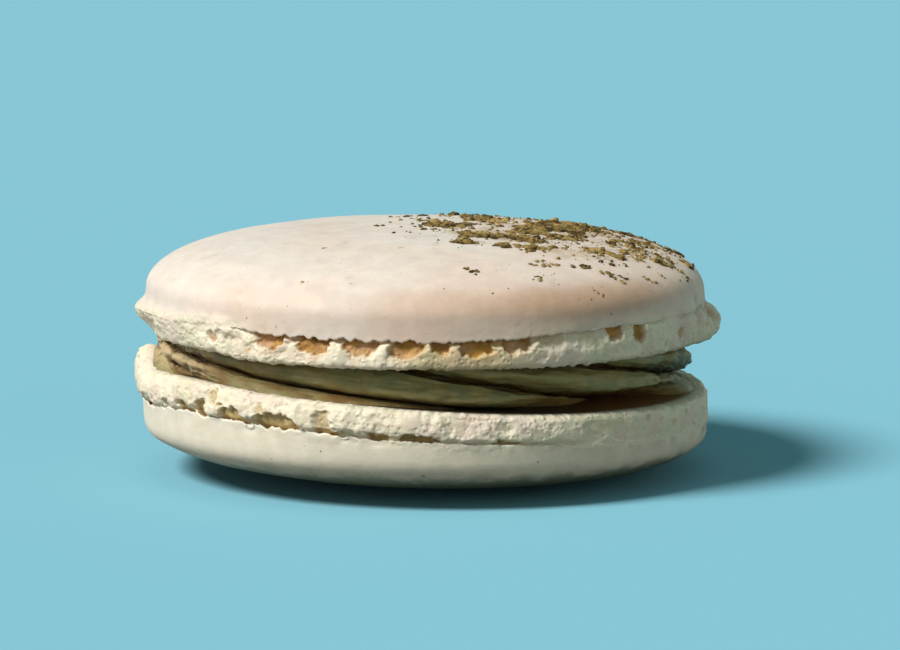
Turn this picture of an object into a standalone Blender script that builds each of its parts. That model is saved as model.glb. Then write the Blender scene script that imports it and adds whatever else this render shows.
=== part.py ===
"""A French macaron: two almond meringue shells with a piped, swirled filling between them.

Lengths are in metres and +Z is up. The finished object's box stands on the ground with its bottom centre
at the origin. The front faces -Y. Each shell is turned about its own axis, ruffled round its foot and set
down at its own tilt, and the filling is a wedge between the two flat inner faces.
"""

import math
import random

import bmesh
import bpy
from mathutils import Matrix, Vector

MM = 0.001

# Shells
SHELL_STEPS = 92
TOP_RADIUS = 22.5 * MM
BOTTOM_RADIUS = 22.75 * MM
TOP_FOOT = 2.6 * MM
BOTTOM_FOOT = 2.5 * MM
TOP_BELT = 3.65 * MM
BOTTOM_BELT = 2.8 * MM
TOP_DOME = 5.15 * MM
BOTTOM_DOME = 5.1 * MM
TOP_ROUNDNESS = (2.4, 2.3)
BOTTOM_ROUNDNESS = (2.8, 2.9)
DOME_RINGS = 9
FOOT_BULGE = 0.75 * MM
FOOT_SQUARENESS = 2.4
FOOT_RINGS = 6
CREVICE_DEPTH = 1.0 * MM
LIP_HEIGHT = 0.35 * MM
LIP_TUCK = 0.2 * MM
FACE_RING = 0.55
RUFFLE_DEPTH = 0.4 * MM
RUFFLE_SWAYS = (5, 9, 13, 19, 27)
RUFFLE_LEAN = 0.25
LIP_DROOP = 0.15 * MM
TOP_SEED = 11
BOTTOM_SEED = 29

# How the two shells sit: height of each flat inner face at its centre, and its slopes in degrees
TOP_FACE = 10.95 * MM
TOP_ROLL = 0.35
TOP_PITCH = 0.0
BOTTOM_FACE = 7.8 * MM
BOTTOM_ROLL = 2.6
BOTTOM_PITCH = -0.3
BOTTOM_DOME_ROLL = 1.3

# Filling
GAP = 0.3 * MM
FILLING_STEPS = 108
FILLING_RINGS = 13
FILLING_RADIUS = 21.4 * MM
ROLL_COUNT = 9
ROLL_WRAP = 1.6
ROLL_START = 2.6
CREASE_DEPTH = 1.5 * MM
ROLL_UNEVENNESS = 0.35 * MM
FILLING_SHOULDER = 0.9 * MM

WELD = 0.002 * MM


def clear_scene():
    """Leave the file with no objects."""
    for item in list(bpy.data.objects):
        bpy.data.objects.remove(item, do_unlink=True)


def make_material(name, colour, roughness):
    """One matt, non-metallic food finish."""
    material = bpy.data.materials.new(name)
    material.use_nodes = True
    shader = material.node_tree.nodes["Principled BSDF"]
    shader.inputs["Base Color"].default_value = (*colour, 1.0)
    shader.inputs["Roughness"].default_value = roughness
    shader.inputs["Metallic"].default_value = 0.0
    material.diffuse_color = (*colour, 1.0)
    return material


def turned(profile, steps):
    """Spin a profile of (radius, height) points, which starts and ends on the axis, into a closed mesh."""
    mesh = bmesh.new()
    corners = [mesh.verts.new((radius, 0.0, height)) for radius, height in profile]
    edges = [mesh.edges.new(pair) for pair in zip(corners, corners[1:])]
    bmesh.ops.spin(
        mesh, geom=corners + edges, cent=(0, 0, 0), axis=(0, 0, 1), angle=math.tau, steps=steps
    )
    bmesh.ops.remove_doubles(mesh, verts=mesh.verts, dist=WELD)
    bmesh.ops.recalc_face_normals(mesh, faces=mesh.faces)
    return mesh


def dome_points(radius, belt, height, roundness):
    """The crust above its widest belt: a quarter of a superellipse that ends on the axis."""
    across, along = roundness
    points = []
    for index in range(DOME_RINGS + 1):
        turn = math.pi / 2 * index / DOME_RINGS
        out = max(math.cos(turn), 0.0) ** (2 / across)
        up = math.sin(turn) ** (2 / along)
        points.append((radius * out, belt + height * up))
    points[-1] = (0.0, belt + height)
    return points


def foot_points(radius, foot):
    """The foot's bulge, from the edge of the flat inner face to the crevice under the crust."""
    points = []
    for index in range(FOOT_RINGS + 1):
        rise = index / FOOT_RINGS
        inset = (FOOT_BULGE + CREVICE_DEPTH) * abs(2 * rise - 1) ** FOOT_SQUARENESS
        points.append((radius + FOOT_BULGE - inset, rise * foot))
    return points


def shell_profile(radius, foot, belt, height, roundness):
    """Flat inner face, bulging foot, crevice, thin crust lip and smooth dome, from the face upward."""
    face = [(0.0, 0.0), (radius * FACE_RING, 0.0)]
    lip = [(radius - LIP_TUCK, foot + LIP_HEIGHT)]
    return face + foot_points(radius, foot) + lip + dome_points(radius, belt, height, roundness)


def make_sways(seed):
    """The uneven waves that run round a foot: how many, how strong, where they start and how they lean."""
    source = random.Random(seed)
    sways = []
    for count in RUFFLE_SWAYS:
        strength = source.uniform(0.7, 1.0) / math.sqrt(len(RUFFLE_SWAYS))
        sways.append((count, strength, source.uniform(0, math.tau), source.uniform(-1.0, 1.0)))
    return sways


def sway_at(sways, angle, rise):
    """Sum of the waves at an angle, with rise from 0 at the inner face to 1 at the crevice."""
    return sum(
        strength * math.sin(count * angle + start + RUFFLE_LEAN * lean * math.tau * rise)
        for count, strength, start, lean in sways
    )


def ruffle(mesh, foot, sways):
    """Push the foot in and out in lobes, and let the crevice and the crust's lip rise and fall."""
    for vertex in mesh.verts:
        angle = math.atan2(vertex.co.y, vertex.co.x)
        rise = vertex.co.z / foot
        if 0 < vertex.co.z < foot:
            push = RUFFLE_DEPTH * sway_at(sways, angle, rise) * math.sin(math.pi * rise)
            vertex.co.x += push * math.cos(angle)
            vertex.co.y += push * math.sin(angle)
        if foot - WELD < vertex.co.z < foot + LIP_HEIGHT + WELD:
            vertex.co.z += LIP_DROOP * sway_at(sways, angle, 0.0)


def lean_dome(mesh, foot, belt, slope):
    """Tip the dome by a further slope along X, easing in between the foot and the dome's belt."""
    for vertex in mesh.verts:
        middle = foot / 2
        share = min(max((vertex.co.z - middle) / (belt - middle), 0.0), 1.0)
        vertex.co.z += share * slope * vertex.co.x


def seat(height, roll, pitch, flipped):
    """Place a shell by its flat inner face. Roll tips +X down, pitch tips the front down."""
    turn = Matrix.Rotation(math.radians(roll), 4, "Y") @ Matrix.Rotation(math.radians(pitch), 4, "X")
    if flipped:
        turn = turn @ Matrix.Rotation(math.pi, 4, "X")
    return Matrix.Translation((0.0, 0.0, height)) @ turn


def plane_height(place, x, y):
    """Height of a seated inner face above a point of the ground."""
    normal = place.to_3x3() @ Vector((0.0, 0.0, 1.0))
    centre = place.translation
    return centre.z - (normal.x * (x - centre.x) + normal.y * (y - centre.y)) / normal.z


def flatten_ground(mesh, place):
    """Cut off what lies below the ground, which leaves the small flat spot that the shell rests on."""
    inverse = place.inverted()
    ground = inverse @ Vector((0.0, 0.0, 0.0))
    upward = inverse.to_3x3() @ Vector((0.0, 0.0, 1.0))
    geometry = list(mesh.verts) + list(mesh.edges) + list(mesh.faces)
    bmesh.ops.bisect_plane(
        mesh, geom=geometry, dist=WELD, plane_co=ground, plane_no=upward, clear_inner=True
    )
    rim = [edge for edge in mesh.edges if edge.is_boundary]
    bmesh.ops.contextual_create(mesh, geom=rim)
    bmesh.ops.recalc_face_normals(mesh, faces=mesh.faces)


def add_piece(name, mesh, place, material, parent):
    """Turn a mesh into a named object of the macaron."""
    data = bpy.data.meshes.new(name)
    mesh.to_mesh(data)
    mesh.free()
    data.materials.append(material)
    data.shade_smooth()
    data.set_sharp_from_angle(angle=math.radians(50))
    piece = bpy.data.objects.new(name, data)
    bpy.context.collection.objects.link(piece)
    piece.parent = parent
    piece.matrix_local = place
    return piece


def make_top_shell(parent, material, place):
    """The upper shell, dome up."""
    mesh = turned(shell_profile(TOP_RADIUS, TOP_FOOT, TOP_BELT, TOP_DOME, TOP_ROUNDNESS), SHELL_STEPS)
    ruffle(mesh, TOP_FOOT, make_sways(TOP_SEED))
    return add_piece("top_shell", mesh, place, material, parent)


def make_bottom_shell(parent, material, place):
    """The lower shell, dome down, cut flat where it rests."""
    mesh = turned(
        shell_profile(BOTTOM_RADIUS, BOTTOM_FOOT, BOTTOM_BELT, BOTTOM_DOME, BOTTOM_ROUNDNESS), SHELL_STEPS
    )
    ruffle(mesh, BOTTOM_FOOT, make_sways(BOTTOM_SEED))
    slope = math.tan(math.radians(BOTTOM_DOME_ROLL - BOTTOM_ROLL))
    lean_dome(mesh, BOTTOM_FOOT, BOTTOM_BELT, slope)
    flatten_ground(mesh, place)
    return add_piece("bottom_shell", mesh, place, material, parent)


def filling_profile():
    """A drum of unit height, with rounded shoulders, that the rolls are then pressed into."""
    shoulder = FILLING_RADIUS - FILLING_SHOULDER
    side = []
    for index in range(FILLING_RINGS):
        share = index / (FILLING_RINGS - 1)
        swell = FILLING_SHOULDER * math.sqrt(math.sin(math.pi * min(share, 1 - share)))
        side.append((shoulder + swell, share))
    inner = FILLING_RADIUS * FACE_RING
    return [(0.0, 0.0), (inner, 0.0)] + side + [(inner, 1.0), (0.0, 1.0)]


def roll_depth(angle):
    """How far the side is pressed in between the crowns of round rolls that meet in sharp creases."""
    across = 2 * (ROLL_COUNT * (angle - math.radians(ROLL_START)) / math.tau % 1.0) - 1
    crown = math.sqrt(max(1 - across * across, 0.0))
    return CREASE_DEPTH * (1 - crown)


def make_filling(parent, material, lower, upper):
    """Piped rolls of cream that fill the wedge between the inner faces and climb to the left like a thread."""
    mesh = turned(filling_profile(), FILLING_STEPS)
    climb = math.tau * ROLL_WRAP / ROLL_COUNT
    for vertex in mesh.verts:
        x, y, share = vertex.co
        out = math.hypot(x, y)
        angle = math.atan2(y, x)
        if out > FILLING_RADIUS - 2 * FILLING_SHOULDER:
            out -= roll_depth(angle) + ROLL_UNEVENNESS * math.sin(ROLL_COUNT * angle / 3) ** 2
        angle -= climb * share
        x, y = out * math.cos(angle), out * math.sin(angle)
        floor = plane_height(lower, x, y) + GAP
        ceiling = plane_height(upper, x, y) - GAP
        vertex.co = (x, y, floor + share * (ceiling - floor))
    return add_piece("filling", mesh, Matrix.Identity(4), material, parent)


def centre_on_origin(parent, pieces):
    """Move the whole macaron so that its box stands on the ground with its bottom centre at the origin."""
    bpy.context.view_layer.update()
    corners = [piece.matrix_world @ vertex.co for piece in pieces for vertex in piece.data.vertices]
    low = Vector([min(corner[axis] for corner in corners) for axis in range(3)])
    high = Vector([max(corner[axis] for corner in corners) for axis in range(3)])
    parent.location = (-(low.x + high.x) / 2, -(low.y + high.y) / 2, -low.z)


def main():
    """Build the macaron."""
    clear_scene()
    whole = bpy.data.objects.new("macaron", None)
    bpy.context.collection.objects.link(whole)
    crust = make_material("almond_crust", (0.80, 0.71, 0.60), 0.62)
    under_crust = make_material("almond_crust_under", (0.74, 0.67, 0.54), 0.66)
    cream = make_material("piped_cream", (0.17, 0.14, 0.05), 0.45)
    upper = seat(TOP_FACE, TOP_ROLL, TOP_PITCH, flipped=False)
    lower = seat(BOTTOM_FACE, BOTTOM_ROLL, BOTTOM_PITCH, flipped=True)
    top = make_top_shell(whole, crust, upper)
    bottom = make_bottom_shell(whole, under_crust, lower)
    filling = make_filling(whole, cream, lower, upper)
    centre_on_origin(whole, [top, bottom, filling])


main()
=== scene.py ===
"""The looks of a French macaron: two baked almond shells, the piped cream between them and the nut powder
on top. Lengths are in metres. The front faces -Y and +Z is up."""

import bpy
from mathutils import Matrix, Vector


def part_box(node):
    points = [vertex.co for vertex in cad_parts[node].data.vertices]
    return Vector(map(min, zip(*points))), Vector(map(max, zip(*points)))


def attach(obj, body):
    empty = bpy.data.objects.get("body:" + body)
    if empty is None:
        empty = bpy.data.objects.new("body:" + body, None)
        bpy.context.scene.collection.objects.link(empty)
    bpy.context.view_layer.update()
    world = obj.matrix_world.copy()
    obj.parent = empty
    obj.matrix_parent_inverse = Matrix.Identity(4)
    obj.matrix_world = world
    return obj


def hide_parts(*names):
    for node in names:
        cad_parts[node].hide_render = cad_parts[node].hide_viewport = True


bl_info = {
    "name": "Filled Macaron",
    "version": (1, 0, 0),
    "blender": (4, 5, 0),
    "location": "View3D > Sidebar > Macaron",
    "description": "Builds a baked and filled macaron with ruffled feet, piped cream and nut powder",
    "category": "Add Mesh",
}

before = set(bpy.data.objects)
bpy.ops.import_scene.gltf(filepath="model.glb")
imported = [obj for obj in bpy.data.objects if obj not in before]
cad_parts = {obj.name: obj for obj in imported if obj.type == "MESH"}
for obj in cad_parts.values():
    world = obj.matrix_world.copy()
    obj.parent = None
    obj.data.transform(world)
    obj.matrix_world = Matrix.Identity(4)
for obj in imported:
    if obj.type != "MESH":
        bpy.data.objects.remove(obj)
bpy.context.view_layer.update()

import math

import bmesh
import bpy
import numpy as np
from mathutils import Vector

TOP_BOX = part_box("top_shell")
BOTTOM_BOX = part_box("bottom_shell")
FILLING_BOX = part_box("filling")
MM = 0.001

# The shells' meshes: points round the fine band, how many of them the plain stretches skip, and the points
# of the fine band from the inner face to the dome.
STEPS = 1200
THINNING = 4
FACE_ROWS = 8
FOOT_ROWS = 40
BELT_ROWS = 6
DOME_ROWS = 9
FINE_DOME = math.radians(22.0)

# The shells' foot and lip: the roof over the hollows, how a pointed foot fades below and above, the gap
# where the crust has no lip, the rounded share of the foot's edge, and how high a lipless foot runs on.
ROOF = 0.16 * MM
BEAK_FALL = 1.0 * MM
BEAK_RISE = 0.8 * MM
LIPLESS_GAP = 0.05 * MM
EDGE_SHARE = 0.2
FADE = 0.8 * MM
LIP_EDGE = ((0.10, 0.0), (-0.02, 0.02), (-0.08, 0.09), (-0.07, 0.2), (-0.05, 0.36))
ABOVE_LIP = 1.12

# The shells' plainer stretches: rings on the inner face as shares of its radius, and degrees up the dome.
FACE_SHARES = (0.25, 0.5, 0.7, 0.83)
UPPER_DOME = np.linspace(25, 80, 18)
NEAR_TOP = (83.0, 86.0, 88.0, 89.2)

# How the shells' skin is broken up: the size of each kind of bump or hole, and how far it goes out or in.
LUMP = 1.7 * MM
LUMP_DEPTH = 0.42 * MM
BUBBLE = 0.85 * MM
BUBBLE_DEPTH = 0.2 * MM
SWELL = 4.5 * MM
SWELL_DEPTH = 0.2 * MM
HOLE = 1.6 * MM
HOLE_DEPTH = 0.42 * MM
NICK = 0.8 * MM
NICK_DEPTH = 0.2 * MM
GRAIN = 0.36 * MM
GRAIN_DEPTH = 0.06 * MM
PORE = 0.5 * MM
PORE_DEPTH = 0.12 * MM
WAVE = 6 * MM
WAVE_DEPTH = 0.05 * MM
RIPPLE = 1.3 * MM
RIPPLE_DEPTH = 0.012 * MM

NEIGHBOURS = [(i, j, k) for i in (-1, 0, 1) for j in (-1, 0, 1) for k in (-1, 0, 1)]
CORNERS = [(i, j, k) for i in (0, 1) for j in (0, 1) for k in (0, 1)]

# The cream: where each crease meets the upper and the lower shell, in degrees, how soon it comes down between
# them, and the cream's sways round the axis.
CREASES = (
    (-206, -154, 1.0),
    (-180, -81, 1.9),
    (-100, -35, 1.5),
    (-66, 15, 1.0),
    (-18, 70, 1.2),
    (30, 108, 1.2),
    (74, 136, 1.1),
    (110, 160, 1.0),
    (136, 182, 1.0),
)
CREASE_DEPTHS = (
    (-178, 0.7), (-130, 0.9), (-92, 1.2), (-72, 1.6), (-45, 1.3), (-5, 1.7), (30, 1.2), (100, 1.0)
)
# How brown each roll of cream is painted: partly brown cream, partly painted shadow under the upper shell.
ROLL_BROWN_AND_SHADOW = (0.95, 0.1, 0.15, 0.0, 0.0, 0.3, 0.0, 0.2, 0.0)
FILLING_SWAYS = ((-175, 0.3), (-150, 0.1), (-90, -0.2), (-30, 0.0), (-5, 0.2), (90, -0.1))
TOP_TUCKS = ((-178, 0.2), (-150, 0.2), (-110, 0.3), (-60, 0.7), (-25, 0.5), (0, 0.4), (60, 0.8), (150, 0.5))
BOTTOM_TUCKS = (
    (-178, -0.9), (-115, -0.9), (-92, 0.3), (-60, 1.8), (-30, 2.2), (-12, -0.3), (60, 0.7), (150, 0.2)
)
TORN = ((-176, 1.0), (-152, 0.8), (-138, 0.0), (-32, 0.0), (-18, 0.8), (10, 0.8), (40, 0.0), (150, 0.1))
# How brown the cream is painted round the axis: browned cream at the torn left end and painted shadow under
# the upper shell.
BROWNED_AND_SHADOWED = (
    (-178, 0.85),
    (-162, 0.8),
    (-150, 0.8),
    (-130, 0.7),
    (-112, 0.25),
    (-85, 0.1),
    (-50, 0.1),
    (10, 0.0),
    (150, 0.2),
)
# Where the cream draws back between the shells, round the axis; there it is also painted dark toffee as
# shade.
GAP_AND_SHADE = ((-80, 0.0), (-55, 0.6), (-35, 1.0), (-24, 0.6), (-12, 0.0))
GAP_DEPTH = 2.4 * MM
FILLING_ROWS = 64
ROLL_STEPS = 120
ROLL_TUCK = 0.07
ROLL_LAP = math.radians(1.0)
FILLING_SHARES = (0.93, 0.8, 0.55, 0.28)
FILLING_BITE = 0.03 * MM

# How tan the upper shell's crust is round the axis.
BAKED = (
    (-178, 0.0),
    (-145, 0.05),
    (-126, 0.25),
    (-108, 0.35),
    (-94, 0.55),
    (-83, 0.65),
    (-58, 1.0),
    (-43, 0.9),
    (-30, 0.5),
    (-15, 0.2),
    (30, 0.4),
    (100, 0.6),
    (150, 0.2),
)

# The powder: where it lies thickest, and the loose flecks beside it as (x, y, half width) in millimetres.
POWDER_MIDDLE = (10.4 * MM, -1.2 * MM)
POWDER_RADIUS = 13.0 * MM
LOOSE_CRUMBS = 6
LOOSE_FLECKS = (
    (-3.6, -1.7, 0.35),
    (-2.1, 5.5, 0.4),
    (-0.5, 6.7, 0.45),
    (1.6, -3.0, 0.4),
    (2.4, -3.3, 0.3),
    (-1.9, -12.4, 0.16),
    (-8.0, -11.3, 0.14),
    (-9.2, -18.3, 0.16),
    (4.1, -18.0, 0.4),
    (3.3, -17.4, 0.25),
    (7.5, -10.4, 0.45),
    (9.0, -15.3, 0.4),
    (9.9, -14.4, 0.5),
    (8.4, -17.7, 0.35),
    (12.2, -13.8, 0.5),
    (14.4, -14.2, 0.45),
    (15.3, -13.6, 0.3),
    (13.5, -17.0, 0.2),
    (17.5, -12.0, 0.3),
    (3.8, 13.0, 0.45),
)


# Repeatable irregularity -------------------------------------------------------------------------------


def hashed(cells, salt):
    """A repeatable random number from 0 to 1 for each whole-numbered cell."""
    whole = cells.astype(np.int64).astype(np.uint32)
    mixed = whole[..., 0] * np.uint32(374761393) + whole[..., 1] * np.uint32(668265263)
    mixed = mixed + whole[..., 2] * np.uint32(2246822519) + np.uint32(salt * 2654435761 & 0xFFFFFFFF)
    for shift, factor in ((15, 2246822519), (13, 3266489917)):
        mixed = (mixed ^ (mixed >> np.uint32(shift))) * np.uint32(factor)
    return (mixed ^ (mixed >> np.uint32(16))).astype(np.float64) / 4294967296.0


def drift(points, size, salt):
    """Smooth noise from about -1 to 1, with swells of a given size."""
    scaled = points / size
    base = np.floor(scaled)
    part = scaled - base
    ease = part * part * part * (part * (part * 6 - 15) + 10)
    total = np.zeros(points.shape[:-1])
    for corner in CORNERS:
        cell = base + corner
        weight = np.prod(np.where(np.array(corner) == 1, ease, 1 - ease), axis=-1)
        for axis in range(3):
            slope = 2 * hashed(cell, salt + 11 * axis) - 1
            total += weight * slope * (part[..., axis] - corner[axis])
    return 1.6 * total


def knobs(points, size, salt, share=1.0, smallest=0.5):
    """Height, as a part of size, of round knobs strewn through space where they stand out of a surface."""
    scaled = points / size
    base = np.floor(scaled)
    best = np.zeros(points.shape[:-1])
    for step in NEIGHBOURS:
        cell = base + step
        away = np.zeros(points.shape[:-1])
        for axis in range(3):
            away += (cell[..., axis] + hashed(cell, salt + 7 * axis) - scaled[..., axis]) ** 2
        radius = smallest + (1 - smallest) * hashed(cell, salt + 31)
        radius = np.where(hashed(cell, salt + 37) < share, radius, 0.0)
        best = np.maximum(best, np.sqrt(np.maximum(radius * radius - away, 0.0)))
    return best


def eased(value, low, high):
    """0 below low, 1 above high, and a smooth step between them."""
    share = np.clip((value - low) / (high - low), 0.0, 1.0)
    return share * share * (3 - 2 * share)


def around(turn, stops):
    """A value that runs smoothly round the axis between (degrees, value) stops in rising order."""
    angles = np.radians([stops[-1][0] - 360] + [angle for angle, _ in stops] + [stops[0][0] + 360])
    values = np.array([stops[-1][1]] + [value for _, value in stops] + [stops[0][1]])
    place = np.clip(np.searchsorted(angles, turn, side="right") - 1, 0, len(angles) - 2)
    share = eased((turn - angles[place]) / (angles[place + 1] - angles[place]), 0.0, 1.0)
    return values[place] + (values[place + 1] - values[place]) * share


# Meshes from rings ---------------------------------------------------------------------------------------


def outward(points):
    """Unit normals of a block of rings, rows of points that each run once round the axis."""
    along = np.roll(points, -1, axis=1) - np.roll(points, 1, axis=1)
    across = np.gradient(points, axis=0)
    normal = np.cross(along, across)
    length = np.linalg.norm(normal, axis=-1, keepdims=True)
    return normal / np.maximum(length, 1e-12)


def ring_faces(start, count, next_start, next_count):
    """Faces between two rings, where the second may have as many points or a fourth or four times as many."""
    if count == next_count:
        return [
            (start + i, start + (i + 1) % count, next_start + (i + 1) % count, next_start + i)
            for i in range(count)
        ]
    fine, coarse, few, flip = start, next_start, next_count, False
    if next_count > count:
        fine, coarse, few, flip = next_start, start, count, True
    many = few * THINNING
    faces = []
    for i in range(few):
        here, there = coarse + i, coarse + (i + 1) % few
        edge = [fine + (THINNING * i + k) % many for k in range(THINNING + 1)]
        middle = THINNING // 2
        fan = [(edge[k], edge[k + 1], here) for k in range(middle)]
        fan.append((edge[middle], there, here))
        fan += [(edge[k], edge[k + 1], there) for k in range(middle, THINNING)]
        faces += [tuple(reversed(face)) for face in fan] if flip else fan
    return faces


def closed_mesh(name, rings, flip):
    """One closed mesh from a list of rings, whose first and last are single points on the axis."""
    starts = np.cumsum([0] + [len(ring) for ring in rings])
    faces = []
    for index in range(len(rings) - 1):
        count, after = len(rings[index]), len(rings[index + 1])
        here, there = int(starts[index]), int(starts[index + 1])
        if count == 1:
            faces += [(here, there + (i + 1) % after, there + i) for i in range(after)]
        elif after == 1:
            faces += [(here + i, here + (i + 1) % count, there) for i in range(count)]
        else:
            faces += ring_faces(here, count, there, after)
    if flip:
        faces = [face[::-1] for face in faces]
    mesh = bpy.data.meshes.new(name)
    mesh.from_pydata(np.concatenate(rings).tolist(), [], faces)
    mesh.validate()
    mesh.shade_smooth()
    return mesh


def add_values(mesh, name, values):
    """Store one number for each point, which a finish reads by name."""
    layer = mesh.attributes.new(name, "FLOAT", "POINT")
    layer.data.foreach_set("value", np.asarray(values, dtype=np.float32))


def mark(mesh, name, start, band, end):
    """Store a value on every point of a mesh of rings: those before the fine band, in it and after it."""
    add_values(mesh, name, np.concatenate(start + list(band) + end))


def add_piece(mesh, material, slot, *nodes):
    """Make a mesh a piece of the macaron that stands for the named solids."""
    piece = bpy.data.objects.new(mesh.name, mesh)
    bpy.context.scene.collection.objects.link(piece)
    mesh.materials.append(material)
    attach(piece, "root")
    if nodes:
        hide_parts(*nodes)
    return piece


# Shells --------------------------------------------------------------------------------------------------


class Shell:
    """The form of one shell in its own frame: flat inner face at height 0 and the dome above it."""

    def __init__(self, name, settings, salt):
        self.name = name
        self.settings = settings
        self.salt = salt
        self.side = 1.0
        self.face = 0.0
        self.face_slope = 0.0
        self.dome_slope = 0.0
        self.face_sway = ((0, 0.0),)
        self.foot = ((0, 1.0),)
        self.reach = ((0, 1.0),)
        self.lip = ((0, 1.0),)
        self.lumps = ((0, 1.0),)
        self.flare = ((0, 0.0),)
        self.tuck = ((0, 1.0),)
        self.peak = ((0, 0.3),)
        self.groove = ((0, 0.0),)
        self.spongy = 0.0
        self.baked = ((0, 0.6),)
        self.greyed = ((0, 0.0),)
        self.hollows = ()
        self.pits = ()

    def dome(self, turn):
        """Radius and height on the dome at a turn from 0 at the belt to a right angle at the apex."""
        sizes = self.settings
        out = sizes.radius * np.maximum(np.cos(turn), 0.0) ** (2 / sizes.roundness_across)
        up = sizes.belt + sizes.dome_height * np.sin(turn) ** (2 / sizes.roundness_along)
        return out, up

    def tan(self, turn, up):
        """How tan the crust is at a height over the inner face: most just past the belt."""
        sizes = self.settings
        above = 1 - eased(up, sizes.belt + 0.25 * sizes.dome_height, sizes.belt + 0.66 * sizes.dome_height)
        below = 1 - around(turn, self.greyed) * (1 - eased(up, 0.85 * sizes.belt, 1.3 * sizes.belt))
        return around(turn, self.baked) * above * below

    def level(self, points, share):
        """Height of the shell's own ground plane at some points. Share is 0 on the foot and 1 on the dome."""
        angle = np.arctan2(points[..., 1], points[..., 0])
        radius = np.hypot(points[..., 0], points[..., 1])
        slope = self.face_slope + share * (self.dome_slope - self.face_slope)
        sway = around(angle, self.face_sway) * eased(radius, 0.5 * self.settings.radius, self.settings.radius)
        return self.face + slope * points[..., 0] + (1 - share) * sway

    def seat(self, points, share):
        """Move points from the shell's own frame to their place."""
        height = self.level(points, share) + self.side * points[..., 2]
        return np.stack([points[..., 0], points[..., 1], np.maximum(height, 0.0)], axis=-1)

    def crown(self, across, along):
        """Height of the dome's surface over a place, for the upper shell."""
        sizes = self.settings
        out = np.minimum(np.hypot(across, along) / sizes.radius, 0.9999)
        bowed = (1 - out ** sizes.roundness_across) ** (1 / sizes.roundness_along)
        up = sizes.belt + sizes.dome_height * bowed
        return self.face + self.dome_slope * across + self.side * up


def hollow_pattern(turn, rise, points, shell):
    """How hollow and how toasted the foot is just under the crust: a row of uneven arched hollows."""
    source = np.random.default_rng(shell.salt)
    radius = shell.settings.radius
    hollows = list(shell.hollows)
    place = max(hollows[-1][0] + 9, 14)
    while place < 150:
        width = source.uniform(1.5, 3.3)
        hollows.append((place, width, source.uniform(0.2, 0.42), 1.0))
        place += math.degrees(0.55 * width * MM / radius) + source.uniform(2.0, 5.5)
    wander = 0.4 * drift(points, 0.8 * MM, shell.salt + 3) + 0.22 * drift(points, 0.35 * MM, shell.salt + 11)
    wander = turn + wander * MM / radius
    ragged = 0.13 * drift(points, 0.9 * MM, shell.salt + 5) + 0.09 * drift(points, 0.35 * MM, shell.salt + 7)
    hollow = around(turn, shell.groove) * eased(rise + ragged, 0.7, 0.85)
    toast = 0.8 * hollow
    for degrees, width, tall, strength in hollows:
        apart = (wander - math.radians(degrees) + math.pi) % (2 * math.pi) - math.pi
        across = apart * radius / (0.5 * width * MM)
        soft = 0.05 + 0.25 * (1 - strength)
        floor = 1 - tall * np.maximum(1 - np.abs(across) ** 3, 0.0) ** 0.5 + ragged
        inside = eased(rise, floor - soft, floor + soft) * eased(1 - np.abs(across), 0.0, 0.3 + soft)
        hollow = np.maximum(hollow, strength * inside)
        floor = 1 - 1.45 * tall * np.sqrt(np.maximum(1.3 - across * across, 0.0)) + ragged
        inside = eased(rise, floor - 0.1, floor + 0.2) * eased(1.3 - np.abs(across), 0.0, 0.5)
        toast = np.maximum(toast, strength * inside)
    roofed = (rise > 0) * (1 - eased(rise, 1.0, ABOVE_LIP))
    return hollow * roofed, np.maximum(hollow, 0.4 * toast) * roofed


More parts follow.
